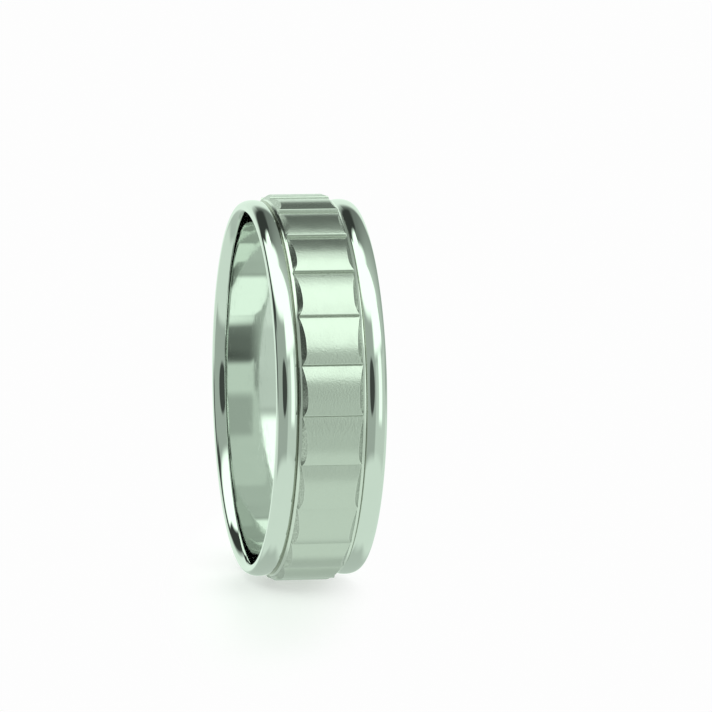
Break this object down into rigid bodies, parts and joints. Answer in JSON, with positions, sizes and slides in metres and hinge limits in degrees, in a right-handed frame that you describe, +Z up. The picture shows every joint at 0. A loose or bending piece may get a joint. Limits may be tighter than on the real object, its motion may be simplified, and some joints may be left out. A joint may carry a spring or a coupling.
{
  "type": "wedding band",
  "caption": "Plain finger ring with a comfort-fit bore, a raised satin centre of milled pillow facets and polished half-round rails at both edges.",
  "frame": {"origin": "centre of the ring, on the finger axis at mid-width", "axes": "+X along the finger axis toward the right rail, +Z up with the ring standing on its edge, -Y toward the viewer"},
  "size_m": [0.0064, 0.0226, 0.0226],
  "materials": {
    "polished_white_metal": "polished",
    "satin_white_metal": "satin"
  },
  "bodies": {
    "root": {"inner_liner": "polished_white_metal", "left_rail": "polished_white_metal", "right_rail": "polished_white_metal", "centre_band": "satin_white_metal"}
  },
  "joints": []
}
